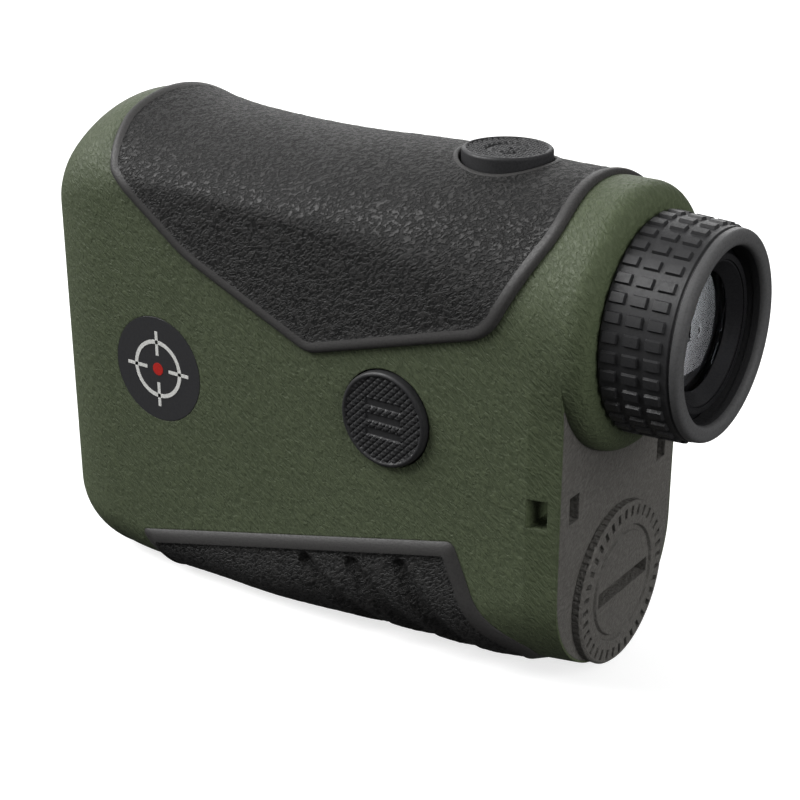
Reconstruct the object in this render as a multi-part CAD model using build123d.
from build123d import *
import math
import os

# Handheld laser rangefinder, one STEP file per piece, in millimetres.
# Frame: +X runs along the sight axis towards the eye, -Y is the user's left, +Z is up.
# The origin is the middle of the flat sole under the lower grip.

os.makedirs("parts", exist_ok=True)

# ---------------------------------------------------------------- driving dimensions
HALF_WIDTH = 18.9          # side planes of the green housing
GRIP_PROUD = 0.8           # how far both rubber grips stand out of the housing
GRIP_SUNK = 0.7            # how deep they sit in its recess
WALL = 2.0                 # housing wall
FRONT_WALL = 2.6           # thicker at the front face
X_NOSE = -43.0             # the housing starts to round off towards the front here
NOSE_LENGTH = 13.7         # length of that rounding
NOSE_INSET = 7.9           # how much it draws the sides in
NOSE_DROP = 14.5           # how much it lowers the top
NOSE_RISE = 8.3            # how much it raises the floor
NOSE_RADII = (15.0, 4.0, 5.4)     # top arc, shoulders and bottom corners at the front face
NOSE_ANGLES = (0, 14, 28, 41, 53, 64, 74, 83, 90)
X_BEZEL = -51.5            # back of the front bezel; the lens barrels start here
X_FRONT = X_NOSE - NOSE_LENGTH
X_CREASE = 37.1            # the sides start to draw in towards the rear plate here
X_REAR = 41.7              # outer face of the rear plate
REAR_HALF_WIDTH = 17.6     # half width of the housing at that face
PLATE = 2.2                # thickness of the rear plate
X_LEDGE = X_REAR - PLATE   # the plate sits on the housing here
AXIS_Z = 56.5              # height of the sight axis
BOSS_RADIUS = 19.5         # round collar that carries the eyepiece
X_COLLAR = 45.2            # rear face of that collar
RING_RADIUS = 16.0         # dioptre ring at its base
X_RIM = 57.0               # rear end of the dioptre ring
TUBE_RADIUS = 13.45        # eyepiece tube, outside
CELL_RADIUS = 11.3         # sliding eye lens cell, outside
RUN_FIT = 0.08             # radial clearance of every running fit
BATTERY_Z = 14.25          # height of the battery axis
BATTERY_RADIUS = 7.8
BATTERY_LENGTH = 27.0
X_BATTERY = 8.6            # front end of the battery
CAP_RADIUS = 12.8
CAP_PROUD = 1.45
PLUG_RADIUS = 9.3          # threaded plug of the battery cap
TUBE_COLLAR = 10.2         # rear collar of the battery tube
MEASURE_X = 21.1           # centre of the measure button on top
MEASURE_RADIUS = 6.65
MEASURE_TOP = 77.9
MODE_X = 13.05             # centre of the mode button on the left side
MODE_Z = 40.3
MODE_RADIUS = 7.4
MODE_PROUD = 1.1
BADGE_X = -31.6
BADGE_Z = 37.9
BADGE_RADIUS = 8.8
EMITTER_Z = 29.0           # height of the laser lens
OBJECTIVE_RADIUS = 12.2    # objective barrel, outside
EMITTER_RADIUS = 7.5       # emitter barrel, outside

# Section of the rear end
REAR_TOP = AXIS_Z + BOSS_RADIUS
REAR_SHOULDER = 18.3
REAR_CORNER = 16.0         # bottom corners
REAR_FLOOR = 2.4

# Stations along the housing:
# x, height of the top, radius of the top arc, of the shoulders, of the bottom corners, height of the floor
SOLE = 0.75
STATIONS = [
    (X_NOSE, 78.4, 23.8, 11.4, 8.8, 0.5),
    (-34.0, 76.6, 27.5, 5.0, 7.5, SOLE),
    (-24.0, 75.8, 28.5, 2.0, 8.0, SOLE),
    (-11.0, 75.5, 27.5, 2.0, 8.5, SOLE),
    (4.0, 76.0, 26.0, 4.0, 11.7, SOLE),
    (18.0, 76.4, 23.0, 9.0, 13.7, 1.1),
    (29.0, 76.0, 20.5, 16.0, 14.0, 1.8),
    (X_CREASE, REAR_TOP, BOSS_RADIUS, REAR_SHOULDER, REAR_CORNER, REAR_FLOOR),
    (X_REAR, REAR_TOP, BOSS_RADIUS, REAR_SHOULDER, REAR_CORNER, REAR_FLOOR),
]
BLEND_LOW = 44.0           # between these heights the tapered rear corner swells out to the collar
BLEND_HIGH = 56.0


# ---------------------------------------------------------------- helpers
def save(name, shape):
    """Write one piece; several separate solids of one kind share a file."""
    export_step(shape, f"parts/{name}.step")


def rod(x0, x1, radius, y=0.0, z=0.0):
    """A cylinder along X."""
    return Pos((x0 + x1) / 2, y, z) * Rot(0, 90, 0) * Cylinder(radius, x1 - x0)


def tube(x0, x1, outer, inner, y=0.0, z=0.0):
    """A tube along X."""
    return rod(x0, x1, outer, y, z) - rod(x0, x1, inner, y, z)


def post(z0, z1, radius, x=0.0, y=0.0):
    """A cylinder along Z."""
    return Pos(x, y, (z0 + z1) / 2) * Cylinder(radius, z1 - z0)


def pin_y(y0, y1, radius, x=0.0, z=0.0):
    """A cylinder along Y."""
    return Pos(x, (y0 + y1) / 2, z) * Rot(90, 0, 0) * Cylinder(radius, y1 - y0)


def block(x0, x1, y0, y1, z0, z1):
    """A box between two corners."""
    return Pos((x0 + x1) / 2, (y0 + y1) / 2, (z0 + z1) / 2) * Box(x1 - x0, y1 - y0, z1 - z0)


def prism_y(points, half_width=30.0):
    """A closed side-view outline (x, z) extruded to both sides."""
    face = make_face(Plane.XZ * Polyline(points, close=True))
    return extrude(face, amount=half_width, both=True)


def section(x, top, top_radius, shoulder, corner, floor, grow, inset=0.0):
    """One cross-section of the housing, moved outwards by grow, its sides drawn in by inset."""
    w = HALF_WIDTH + grow - inset
    top += grow
    floor -= grow
    big = top_radius + grow
    small = max(shoulder + grow, 0.5)
    rb = corner + grow
    zb = top - big
    zs = zb + math.sqrt((big - small) ** 2 - (w - small) ** 2)
    # the shoulder arc meets the top arc on the line through both centres
    k = big / (big - small)
    yt = (w - small) * k
    zt = zb + (zs - zb) * k
    mid_angle = math.atan2(zt - zs, yt - (w - small)) / 2
    ym = w - small + small * math.cos(mid_angle)
    zm = zs + small * math.sin(mid_angle)
    cut = rb * (1 - math.sqrt(0.5))
    right = [
        ThreePointArc((w - rb, floor), (w - cut, floor + cut), (w, floor + rb)),
        Line((w, floor + rb), (w, zs)),
        ThreePointArc((w, zs), (ym, zm), (yt, zt)),
    ]
    crown = ThreePointArc((yt, zt), (0, top), (-yt, zt))
    sole = Line((rb - w, floor), (w - rb, floor))
    return closed_section(x, right, crown, sole)


def closed_section(x, right, crown, sole):
    """Mirror the right half's edges and close the section at station x."""
    left = [edge.mirror(Plane.YZ) for edge in right]
    plane = Plane(origin=(x, 0, 0), x_dir=(0, 1, 0), z_dir=(1, 0, 0))
    return plane * make_face(right + left + [crown, sole])


def rear_section(x, half_width, swell, grow=0.0):
    """Section behind the crease: flat lower side, then a blend that swells out to the collar."""
    w = HALF_WIDTH + grow
    low = half_width + grow
    floor = REAR_FLOOR - grow
    rb = REAR_CORNER + grow
    top = REAR_TOP + grow
    big = BOSS_RADIUS + grow
    small = REAR_SHOULDER + grow
    zb = top - big
    zs = zb + math.sqrt((big - small) ** 2 - (w - small) ** 2)
    k = big / (big - small)
    yt = (w - small) * k
    zt = zb + (zs - zb) * k
    mid_angle = math.atan2(zt - zs, yt - (w - small)) / 2
    ym = w - small + small * math.cos(mid_angle)
    zm = zs + small * math.sin(mid_angle)
    cut = rb * (1 - math.sqrt(0.5))
    blend = Line((low, BLEND_LOW), (w, BLEND_HIGH))
    if swell:
        middle = ((low + w) / 2, (BLEND_LOW + BLEND_HIGH) / 2)
        blend = Spline((low, BLEND_LOW), middle, (w, BLEND_HIGH), tangents=((0, 1), (0, 1)))
    right = [
        ThreePointArc((low - rb, floor), (low - cut, floor + cut), (low, floor + rb)),
        Line((low, floor + rb), (low, BLEND_LOW)),
        blend,
        Line((w, BLEND_HIGH), (w, zs)),
        ThreePointArc((w, zs), (ym, zm), (yt, zt)),
    ]
    crown = ThreePointArc((yt, zt), (0, top), (-yt, zt))
    sole = Line((rb - low, floor), (low - rb, floor))
    return closed_section(x, right, crown, sole)


def nose(grow, length):
    """The rounded front end, lofted through sections that follow a quarter ellipse."""
    x, top, *radii, floor = STATIONS[0]
    sections = []
    for degrees in NOSE_ANGLES:
        along = math.sin(math.radians(degrees))
        share = 1 - math.cos(math.radians(degrees))
        drawn = [start + (end - start) * share for start, end in zip(radii, NOSE_RADII)]
        sections.append(section(
            x - length * along, top - NOSE_DROP * share, *drawn, floor + NOSE_RISE * share,
            grow, NOSE_INSET * share,
        ))
    return loft(sections)


def hull_run(grow):
    """The lofted run of the housing behind the nose, with straight sides to the rear face."""
    return loft([section(*station, grow) for station in STATIONS])


def rear_run():
    """The housing from the crease to the rear face, with corners that draw in below the collar."""
    front = rear_section(X_CREASE, HALF_WIDTH, False)
    rear = rear_section(X_REAR, REAR_HALF_WIDTH, True)
    return loft([front, rear], ruled=True)


def outline_prism(corners):
    """Side-view outline with rounded corners (x, z, radius), extruded to both sides."""
    points = [(x, z) for x, z, radius in corners]
    radii = [radius for x, z, radius in corners]
    wire = Plane.XZ * FilletPolyline(*points, radius=radii, close=True)
    return extrude(make_face(wire), amount=30.0, both=True)


def lens(x0, x1, radius, bulge0, bulge1, z):
    """A lens along X whose rim spans x0..x1; each bulge stands out beyond its rim."""
    front = x0 - bulge0
    back = x1 + bulge1
    r0 = (radius ** 2 + bulge0 ** 2) / (2 * bulge0)
    r1 = (radius ** 2 + bulge1 ** 2) / (2 * bulge1)
    sink0 = r0 - math.sqrt(r0 ** 2 - (radius / 2) ** 2)
    sink1 = r1 - math.sqrt(r1 ** 2 - (radius / 2) ** 2)
    edges = [
        ThreePointArc((front, 0), (front + sink0, radius / 2), (x0, radius)),
        Line((x0, radius), (x1, radius)),
        ThreePointArc((x1, radius), (back - sink1, radius / 2), (back, 0)),
        Line((back, 0), (front, 0)),
    ]
    return Pos(0, 0, z) * revolve(Plane.XZ * make_face(edges), Axis.X)


def turned(profile, z=AXIS_Z):
    """A solid of revolution about the axis at height z from (x, radius) points."""
    return Pos(0, 0, z) * revolve(Plane.XZ * make_face(Polyline(profile, close=True)), Axis.X)


def coil(length, radius, wire, turns):
    """A compression spring along Z that starts at z = 0; its wire stays within the length."""
    path = Helix((length - 2 * wire) / turns, length - 2 * wire, radius)
    start = Plane(origin=path @ 0, z_dir=path % 0)
    return Pos(0, 0, wire) * sweep(start * Circle(wire), path=path)


def screw(head_radius, head_height, shank_radius, shank_length):
    """A pan-head cross screw: underside of the head at z = 0, head towards +Z."""
    body = post(0, head_height, head_radius) + post(-shank_length, 0, shank_radius)
    slot = head_radius * 0.55
    for angle in (0, 90):
        body -= Rot(0, 0, angle) * block(-slot, slot, -0.2, 0.2, head_height * 0.45, head_height + 1)
    return body


def strap_channel(side):
    """The L-shaped way of a wrist strap from the side (side = -1 left, +1 right) to the rear."""
    across = block(37.1, 40.05, 12.0, 22.0, 29.5, 33.9)
    along = block(37.1, 46.0, 12.0, 14.7, 29.4, 33.6)
    channel = across + along
    return channel if side > 0 else mirror(channel, Plane.XZ)


# ---------------------------------------------------------------- outlines of the two grips
UPPER_OUTLINE = [
    (-39.6, 68.8, 3.0), (-24.8, 57.8, 30.0), (-0.9, 47.4, 5.0), (30.6, 56.4, 7.5),
    (38.2, 71.5, 8.0), (36.4, 81.0, 0.0), (-42.9, 81.0, 0.0), (-42.9, 76.0, 4.0),
]
LOWER_OUTLINE = [
    (-37.3, 7.8, 0.8), (24.9, 23.7, 1.4), (29.4, 13.0, 12.0),
    (36.6, 7.6, 2.0), (35.6, -3.0, 0.0), (-32.0, -3.0, 0.0),
]
FLUTES = [(-2.25, 12.6, 4.05, 6.3), (6.75, 14.85, 13.95, 6.3), (15.75, 17.1, 22.05, 7.2)]


def grip_zone(corners):
    """The skin of the housing, from GRIP_SUNK inside to GRIP_PROUD outside, within an outline."""
    skin = hull_run(GRIP_PROUD) - hull_run(-GRIP_SUNK)
    above_sole = block(-60.0, 60.0, -30.0, 30.0, 0.0, 90.0)
    return skin & outline_prism(corners) & above_sole


# ---------------------------------------------------------------- housing
def collar_disc(x0, x1):
    """Disc around the eyepiece: round above and below, drawn in to the side planes left and right."""
    big, small, w = BOSS_RADIUS, REAR_SHOULDER, HALF_WIDTH
    rise = math.sqrt((big - small) ** 2 - (w - small) ** 2)
    k = big / (big - small)
    yt, zt = (w - small) * k, rise * k
    mid_angle = math.atan2(zt - rise, yt - (w - small)) / 2
    ym = w - small + small * math.cos(mid_angle)
    zm = rise + small * math.sin(mid_angle)
    edges = [Line((side * w, -rise), (side * w, rise)) for side in (-1, 1)]
    for up in (-1, 1):
        edges.append(ThreePointArc((yt, up * zt), (0, up * big), (-yt, up * zt)))
        for side in (-1, 1):
            edges.append(ThreePointArc((side * w, up * rise), (side * ym, up * zm), (side * yt, up * zt)))
    plane = Plane(origin=(x0, 0, AXIS_Z), x_dir=(0, 1, 0), z_dir=(1, 0, 0))
    return extrude(plane * make_face(edges), amount=x1 - x0)


def make_collar():
    """Collar around the eyepiece, flush with the housing in front of it."""
    disc = collar_disc(X_REAR, X_COLLAR)
    return fillet(disc.edges().group_by(Axis.X)[-1], 3.1)


def cavity():
    """Inside of the housing, open at the rear ledge."""
    inner = hull_run(-WALL) + nose(-WALL, NOSE_LENGTH - FRONT_WALL)
    return inner & block(-60.0, X_LEDGE, -30.0, 30.0, -5.0, 90.0)


def plate_outline(shrink):
    """Rear section of the housing below the collar, drawn in by shrink, as a plate."""
    face = rear_section(X_REAR, REAR_HALF_WIDTH, True, -shrink)
    plate = extrude(face, amount=-PLATE, dir=(1, 0, 0))
    plate &= block(X_LEDGE - 1, X_REAR + 1, -30.0, 30.0, -5.0, AXIS_Z - 8.9)
    return plate - collar_disc(X_LEDGE - 1, X_REAR + 1)


RAILS = [(-44.0, -31.0), (24.0, 34.0)]
SCREW_PLACES = [(-37.0, 14.3), (-37.0, -14.3), (29.0, 14.3), (29.0, -14.3)]
TUBE_FOOT_X = 4.6
BEZEL = (12.9, 9.6, 69.6)      # half width, lowest and highest z of the front opening


def bezel_block(clear, x0, x1):
    """Rounded rectangle in the front wall."""
    half, low, high = BEZEL
    shape = block(x0, x1, -half + clear, half - clear, low + clear, high - clear)
    shape = fillet(shape.edges().filter_by(Axis.X).group_by(Axis.Z)[-1], 12.0)
    return fillet(shape.edges().filter_by(Axis.X).group_by(Axis.Z)[0], 8.0)


def make_body():
    """Green housing: one tubular shell with the eyepiece collar, open at both ends."""
    straight = hull_run(0.0) & block(-60.0, X_CREASE, -30.0, 30.0, -5.0, 90.0)
    body = straight + nose(0.0, NOSE_LENGTH) + rear_run() + make_collar()
    body -= cavity()
    body += tube(36.0, X_LEDGE + 1, BOSS_RADIUS - 1.0, TUBE_RADIUS, z=AXIS_Z)
    for x0, x1 in RAILS:
        for y0, y1 in ((11.8, 17.6), (-17.6, -11.8)):
            body += block(x0, x1, y0, y1, 38.5, 41.5)
    for y0, y1 in ((10.5, 17.3), (-17.3, -10.5)):
        body += block(34.5, X_LEDGE, y0, y1, 27.0, 36.4)
    for y in (-11.0, 11.0):
        body += post(2.0, 5.8, 2.2, TUBE_FOOT_X, y)
        body -= post(1.9, 6.0, 0.85, TUBE_FOOT_X, y)
    for x, y in SCREW_PLACES:
        body -= post(38.0, 42.0, 0.85, x, y)
    body -= plate_outline(0.35)
    body -= rod(30.0, 50.0, TUBE_RADIUS + 0.05, z=AXIS_Z)
    body -= bezel_block(0.0, -60.0, X_BEZEL + 1)
    body -= rod(33.0, X_REAR, TUBE_COLLAR + 0.1, z=BATTERY_Z)
    for side in (-1, 1):
        body -= strap_channel(side)
    body -= pin_y(-25.0, -12.0, MODE_RADIUS + 0.25, MODE_X, MODE_Z)
    body -= pin_y(-25.0, -HALF_WIDTH + 0.8, BADGE_RADIUS, BADGE_X, BADGE_Z)
    body -= post(70.0, 90.0, MEASURE_RADIUS + 0.25, MEASURE_X)
    return body


upper_zone = grip_zone(UPPER_OUTLINE)
lower_zone = grip_zone(LOWER_OUTLINE)
body_shell = make_body() - upper_zone - lower_zone
save("body_shell", body_shell)

upper_grip = upper_zone - post(60.0, 90.0, MEASURE_RADIUS + 0.25, MEASURE_X)
save("upper_grip", upper_grip)


def make_lower_grip():
    """Lower grip with three flutes that widen towards the sole."""
    outer_half = hull_run(GRIP_PROUD + 1.0) - hull_run(0.1)
    grip = lower_zone
    for x0, z0, x1, z1 in FLUTES:
        length = math.hypot(x1 - x0, z1 - z0)
        ux, uz = (x1 - x0) / length, (z1 - z0) / length
        end_x, end_z = x1 + ux * 9.0, z1 + uz * 9.0
        points = [
            (x0 + uz * 0.7, z0 - ux * 0.7), (x0 - uz * 0.7, z0 + ux * 0.7),
            (end_x - uz * 2.1, end_z + ux * 2.1), (end_x + uz * 2.1, end_z - ux * 2.1),
        ]
        grip -= prism_y(points) & outer_half
    return grip


save("lower_grip", make_lower_grip())


def make_rear_plate():
    """Grey rear plate with the threaded mouth of the battery tube."""
    plate = plate_outline(0.35)
    plate -= rod(X_LEDGE - 1, X_REAR + 1, PLUG_RADIUS + 0.1, z=BATTERY_Z)
    for side in (-1, 1):
        plate -= strap_channel(side)
    return plate


save("rear_plate", make_rear_plate())


def make_front_bezel():
    """Black front plate that carries on the rounding of the nose, with a stepped hole for each lens."""
    plate = nose(0.0, NOSE_LENGTH) & bezel_block(0.1, -60.0, X_BEZEL)
    for radius, z in ((10.6, AXIS_Z), (6.0, EMITTER_Z)):
        plate -= rod(-60.0, X_BEZEL + 1, radius, z=z)
        plate -= rod(-60.0, X_FRONT + 0.7, radius + 1.1, z=z)
    return plate


save("front_bezel", make_front_bezel())
save("badge_disc", pin_y(-HALF_WIDTH - 0.05, -HALF_WIDTH + 0.8, BADGE_RADIUS - 0.05, BADGE_X, BADGE_Z))

# ---------------------------------------------------------------- eyepiece
save("eyepiece_tube", turned([
    (34.5, CELL_RADIUS + RUN_FIT), (34.5, 15.2), (36.0, 15.2), (36.0, TUBE_RADIUS), (46.5, TUBE_RADIUS),
    (46.5, 12.5), (47.7, 12.5), (47.7, TUBE_RADIUS), (53.0, TUBE_RADIUS), (53.0, CELL_RADIUS + RUN_FIT),
]))
save("eyepiece_o_ring", Pos(47.1, 0, AXIS_Z) * Rot(0, 90, 0) * Torus(13.0, 0.45))
save("eye_lens_cell", turned([
    (41.0, 9.2), (41.0, CELL_RADIUS), (54.6, CELL_RADIUS), (54.6, 10.45), (41.9, 10.45), (41.9, 9.2),
]))
save("field_lens", lens(42.9, 44.6, 10.35, 0.9, 0.8, AXIS_Z))
save("lens_spacer", tube(45.5, 49.3, 10.35, 9.6, z=AXIS_Z))
save("eye_lens", lens(50.1, 51.7, 10.35, 0.7, 0.9, AXIS_Z))
save("eye_lens_retainer", turned([(52.7, 8.5), (52.7, 10.4), (54.45, 10.4), (54.45, 10.15)]))
save("diopter_ring_core", turned([
    (45.5, TUBE_RADIUS + RUN_FIT), (45.5, 14.6), (55.0, 14.6), (55.0, 12.7), (53.3, 12.7),
    (53.3, TUBE_RADIUS + RUN_FIT),
]))

PADS_AROUND = 36
PAD_ROWS = [(45.75, 48.1), (48.85, 51.25), (52.0, 54.4)]
PAD_HEIGHT = 0.28
PAD_WIDTH = 1.7
RIM_RADIUS = 15.43


def ring_radius(x):
    """Outer radius of the rubber over the pads; it narrows a little towards the rim."""
    return RING_RADIUS - (RING_RADIUS - RIM_RADIUS) * (x - 45.5) / (X_RIM - 45.5)


def make_diopter_grip():
    """Rubber sleeve and eyecup rim of the dioptre ring, with rows of raised pads."""
    profile = [(45.5, 14.6), (45.5, ring_radius(45.5) - PAD_HEIGHT)]
    for x0, x1 in PAD_ROWS:
        profile += [
            (x0, ring_radius(x0) - PAD_HEIGHT), (x0, ring_radius(x0)),
            (x1, ring_radius(x1)), (x1, ring_radius(x1) - PAD_HEIGHT),
        ]
    last = ring_radius(X_RIM) - PAD_HEIGHT
    profile += [
        (54.8, ring_radius(54.8) - PAD_HEIGHT), (X_RIM - 0.7, last), (X_RIM - 0.2, last - 0.2),
        (X_RIM, last - 0.7), (X_RIM, 13.2), (X_RIM - 0.5, 12.6), (55.0, 12.6), (55.0, 14.6),
    ]
    grip = turned(profile)
    gap = 2 * math.pi * 15.6 / PADS_AROUND - PAD_WIDTH
    slope = math.degrees(math.atan((RING_RADIUS - RIM_RADIUS) / (X_RIM - 45.5)))
    middle = (PAD_ROWS[0][0] + PAD_ROWS[-1][1]) / 2
    length = PAD_ROWS[-1][1] - PAD_ROWS[0][0] + 0.4
    bottom = ring_radius(middle) - PAD_HEIGHT
    groove = Pos(middle, 0, bottom) * Rot(0, slope, 0) * Pos(0, 0, 0.5) * Box(length, gap, 1.0)
    step = 360 / PADS_AROUND
    grooves = [
        Pos(0, 0, AXIS_Z) * Rot(step * (k + 0.5) + 0.5, 0, 0) * groove for k in range(PADS_AROUND)
    ]
    return grip - grooves


save("diopter_ring_grip", make_diopter_grip())

# ---------------------------------------------------------------- buttons
def make_button(radius, height, travel_gap):
    """A button along +Z whose flange starts at z = 0: flange, body with a rolled edge, short stem."""
    body = post(0.0, height, radius)
    body = fillet(body.edges().group_by(Axis.Z)[-1], 0.5)
    body += post(0.0, 0.8, radius + 0.8)
    body += post(-1.0 + travel_gap, 0.1, 2.0)
    return body


FLANGE_Z = 70.5
measure_button = Pos(MEASURE_X, 0, FLANGE_Z) * make_button(MEASURE_RADIUS, MEASURE_TOP - FLANGE_Z, 0.0)
save("measure_button", measure_button)
save("measure_button_spring", Pos(MEASURE_X, 0, 67.05) * coil(3.4, 5.2, 0.3, 4))
save("measure_switch", block(MEASURE_X - 3, MEASURE_X + 3, -3, 3, 67.0, 68.2) + post(68.2, 68.6, 1.6, MEASURE_X))
save("top_button_board", block(15.2, 28.7, -9.5, 9.5, 66.0, 67.0))

FLANGE_Y = -15.8
mode_height = HALF_WIDTH + MODE_PROUD + FLANGE_Y
mode_button = Pos(MODE_X, FLANGE_Y, MODE_Z) * Rot(90, 0, 0) * make_button(MODE_RADIUS, mode_height, -0.7)
save("mode_button", mode_button)
save("mode_button_spring", Pos(MODE_X, -11.65, MODE_Z) * Rot(90, 0, 0) * coil(4.1, 5.2, 0.3, 4))
save("mode_switch", block(MODE_X - 3, MODE_X + 3, -12.8, -11.6, MODE_Z - 3, MODE_Z + 3)
     + pin_y(-13.2, -12.8, 1.6, MODE_X, MODE_Z))
save("side_button_board", block(5.5, 20.6, -11.6, -10.8, 33.4, 47.4))

# ---------------------------------------------------------------- optics and electronics
x_lens = X_BEZEL + 0.05        # front end of both lens barrels
save("objective_barrel", turned([
    (x_lens, 11.2), (x_lens, OBJECTIVE_RADIUS), (-20.0, OBJECTIVE_RADIUS), (-20.0, 11.2),
    (x_lens + 8.1, 11.2), (x_lens + 8.1, 10.2), (x_lens + 7.1, 10.2), (x_lens + 7.1, 11.2),
]))
save("objective_lens", lens(x_lens + 2.9, x_lens + 5.9, 11.15, 1.2, 1.1, AXIS_Z))
save("objective_retaining_ring", tube(x_lens + 0.2, x_lens + 1.6, 11.15, 10.4, z=AXIS_Z))
save("emitter_barrel", turned([
    (x_lens, 6.7), (x_lens, EMITTER_RADIUS), (-31.0, EMITTER_RADIUS), (-31.0, 4.6), (-32.5, 4.6),
    (-32.5, 6.7), (x_lens + 7.3, 6.7), (x_lens + 7.3, 5.9), (x_lens + 6.5, 5.9), (x_lens + 6.5, 6.7),
], EMITTER_Z))
save("emitter_lens", lens(x_lens + 2.9, x_lens + 5.3, 6.65, 0.6, 1.1, EMITTER_Z))
save("emitter_retaining_ring", tube(x_lens + 0.2, x_lens + 2.2, 6.65, 6.0, z=EMITTER_Z))
save("laser_diode", rod(-33.5, -30.2, 2.8, z=EMITTER_Z) + rod(-31.4, -30.2, 4.55, z=EMITTER_Z)
     + rod(-30.2, -27.6, 0.3, 1.3, EMITTER_Z) + rod(-30.2, -27.6, 0.3, -1.3, EMITTER_Z))
save("roof_prism", prism_y([(-10, 47), (-8.6, 45.6), (14, 45.6), (14, 60), (8, 67.5), (-10, 67.5)], 9.7))
clamp_outer = block(-1.0, 3.5, -10.9, 10.9, 43.5, 68.4)
save("prism_clamp", clamp_outer - block(-2.0, 7.0, -10.1, 10.1, 43.0, 67.6))
save("receiver_module", block(-8.0, 4.0, 11.0, 14.0, 43.5, 56.0))
save("display_frame", block(17.5, 20.5, -9.7, 9.7, 47.5, 65.2) - block(17.0, 21.0, -7.5, 7.5, 50.7, 62.7))
save("display_glass", block(18.4, 19.2, -7.5, 7.5, 50.7, 62.7))


def make_chassis():
    """Plate on the side rails with cradles for the barrels, prism, display, boards and buttons."""
    plate = block(-44.0, 32.0, -14.0, 14.0, 41.5, 43.5)
    for x0, x1 in ((-42.0, -32.0), (25.0, 33.0)):
        plate += block(x0, x1, -16.4, 16.4, 41.5, 43.5)
    for x0 in (-42.0, -26.0):
        plate += block(x0, x0 + 4.0, -9.0, 9.0, 43.5, 50.0)
    plate -= rod(-60.0, 0.0, OBJECTIVE_RADIUS, z=AXIS_Z)
    plate += block(-44.0, -34.0, -8.0, 8.0, 31.0, 41.5) - rod(-50.0, -30.0, EMITTER_RADIUS, z=EMITTER_Z)
    plate += block(-8.6, 13.5, -9.5, 9.5, 43.5, 45.6)
    plate += block(17.5, 20.5, -8.0, 8.0, 43.5, 47.5)
    plate -= block(4.0, 22.0, -20.0, -10.3, 41.0, 44.0)
    plate += block(6.0, 20.0, -10.8, -9.8, 36.0, 47.4)
    plate -= block(21.6, 22.8, -4.0, 4.0, 41.0, 44.0)
    for y in (-8.0, 8.0):
        plate += post(43.5, 66.0, 1.5, 26.5, y)
    for x, y in BOARD_SCREWS:
        plate += post(31.2, 41.5, 1.7, x, y)
        plate -= post(31.0, 38.0, 0.85, x, y)
    for x, y in SCREW_PLACES:
        plate -= post(41.0, 44.0, 1.1, x, y)
    return plate


BOARD_SCREWS = [(-22.5, -8.0), (-22.5, 11.0), (18.0, -7.5), (18.0, 11.0)]
save("optical_chassis", make_chassis())

main_board = block(-25.8, 23.5, -10.3, 13.5, 30.0, 31.2)
for x, y in BOARD_SCREWS:
    main_board -= post(29.0, 32.0, 0.9, x, y)
save("main_board", main_board)
save("board_chips", Compound([
    block(-14.0, -6.0, -4.0, 4.0, 31.2, 32.4),
    block(-2.0, 3.0, 2.0, 8.0, 31.2, 32.2),
    block(7.0, 12.0, -4.0, 1.0, 31.2, 32.0),
]))
save("storage_capacitor", rod(-20.0, -8.0, 3.0, 5.0, 26.95))
ribbon = block(22.0, 22.3, -3.0, 3.0, 31.2, 50.3) + block(20.5, 22.3, -3.0, 3.0, 50.0, 50.3)
save("display_flex_cable", ribbon)

chassis_screw = screw(1.9, 1.2, 0.8, 5.0)
save("chassis_screws", Compound([Pos(x, y, 43.5) * chassis_screw for x, y in SCREW_PLACES]))
board_screw = Rot(180, 0, 0) * screw(1.7, 1.1, 0.8, 6.0)
save("board_screws", Compound([Pos(x, y, 30.0) * board_screw for x, y in BOARD_SCREWS]))

# ---------------------------------------------------------------- battery compartment
def make_battery_tube():
    """Closed-front battery tube with a collar for the cap's plug and two feet."""
    body = rod(1.6, 35.6, 9.6, z=BATTERY_Z) + rod(33.6, X_LEDGE - 0.05, TUBE_COLLAR, z=BATTERY_Z)
    body += block(2.2, 7.0, -13.2, 13.2, 5.8, 8.0)
    body -= rod(2.8, 36.0, BATTERY_RADIUS + 0.4, z=BATTERY_Z)
    body -= rod(35.3, 45.0, PLUG_RADIUS + 0.1, z=BATTERY_Z)
    for y in (-11.0, 11.0):
        body -= post(5.0, 9.0, 1.0, TUBE_FOOT_X, y)
    return body


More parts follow.
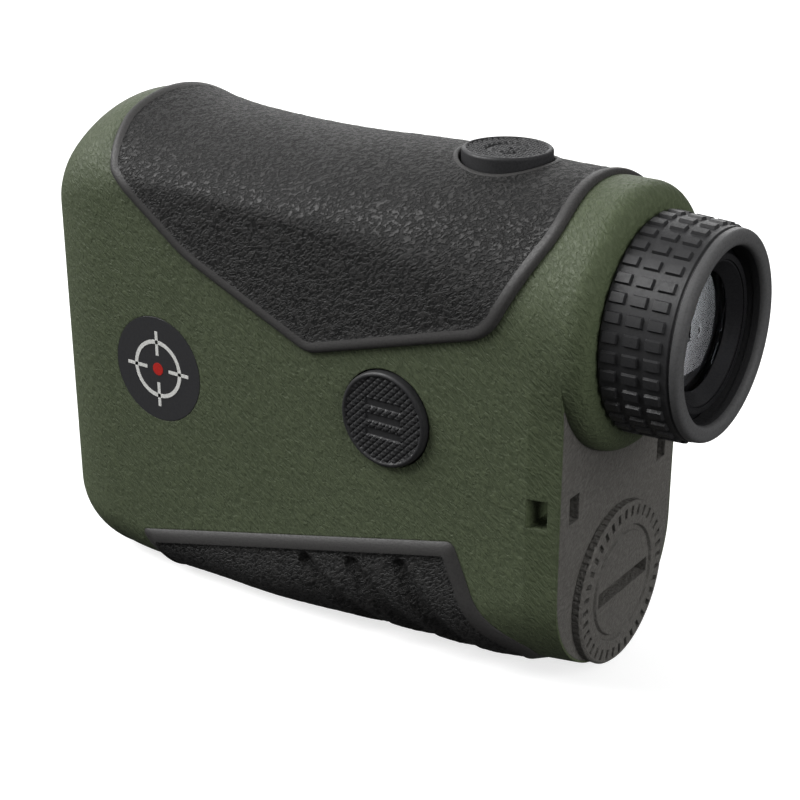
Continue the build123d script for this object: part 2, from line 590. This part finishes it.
save("battery_tube", make_battery_tube())
tube_screw = screw(1.8, 1.2, 0.8, 5.1)
save("tube_screws", Compound([Pos(TUBE_FOOT_X, y, 8.0) * tube_screw for y in (-11.0, 11.0)]))
save("battery_contact_plate", rod(2.8, 3.1, 7.9, z=BATTERY_Z))
save("battery_contact_spring", Pos(3.15, 0, BATTERY_Z) * Rot(0, 90, 0) * coil(5.4, 3.6, 0.35, 4))
save("battery_cell", rod(X_BATTERY, X_BATTERY + 26.0, BATTERY_RADIUS, z=BATTERY_Z)
     + rod(X_BATTERY + 26.0, X_BATTERY + BATTERY_LENGTH, 2.9, z=BATTERY_Z))
save("cap_contact", rod(35.7, 36.3, 7.5, z=BATTERY_Z))

CAP_NOTCHES = 36
CAP_KNURLS = 72


def make_cap():
    """Screw cap: plug with a seal groove, disc with edge notches, ring groove and coin slot."""
    x_face = X_REAR + 0.05 + CAP_PROUD
    cap = turned([
        (36.3, 0), (36.3, PLUG_RADIUS), (38.4, PLUG_RADIUS), (38.4, 8.3), (39.5, 8.3), (39.5, PLUG_RADIUS),
        (X_REAR + 0.05, PLUG_RADIUS), (X_REAR + 0.05, CAP_RADIUS), (x_face - 0.35, CAP_RADIUS),
        (x_face, CAP_RADIUS - 0.35), (x_face, 9.15), (x_face - 0.45, 8.95), (x_face - 0.45, 8.3),
        (x_face, 8.1), (x_face, 0),
    ], BATTERY_Z)
    centre = Pos(x_face, 0, BATTERY_Z)
    cap -= centre * Box(4.4, 15.0, 2.4)
    notch = Pos(0, 0, 11.35) * Box(1.2, 0.75, 1.6)
    cap -= [centre * Rot(360 / CAP_NOTCHES * k, 0, 0) * notch for k in range(CAP_NOTCHES)]
    knurl = Pos(-0.9, 0, CAP_RADIUS + 0.05) * Rot(0, 90, 0) * Cylinder(0.22, 1.0)
    cap -= [centre * Rot(360 / CAP_KNURLS * k, 0, 0) * knurl for k in range(CAP_KNURLS)]
    return cap


save("battery_cap", make_cap())
save("cap_o_ring", Pos(38.95, 0, BATTERY_Z) * Rot(0, 90, 0) * Torus(8.82, 0.47))
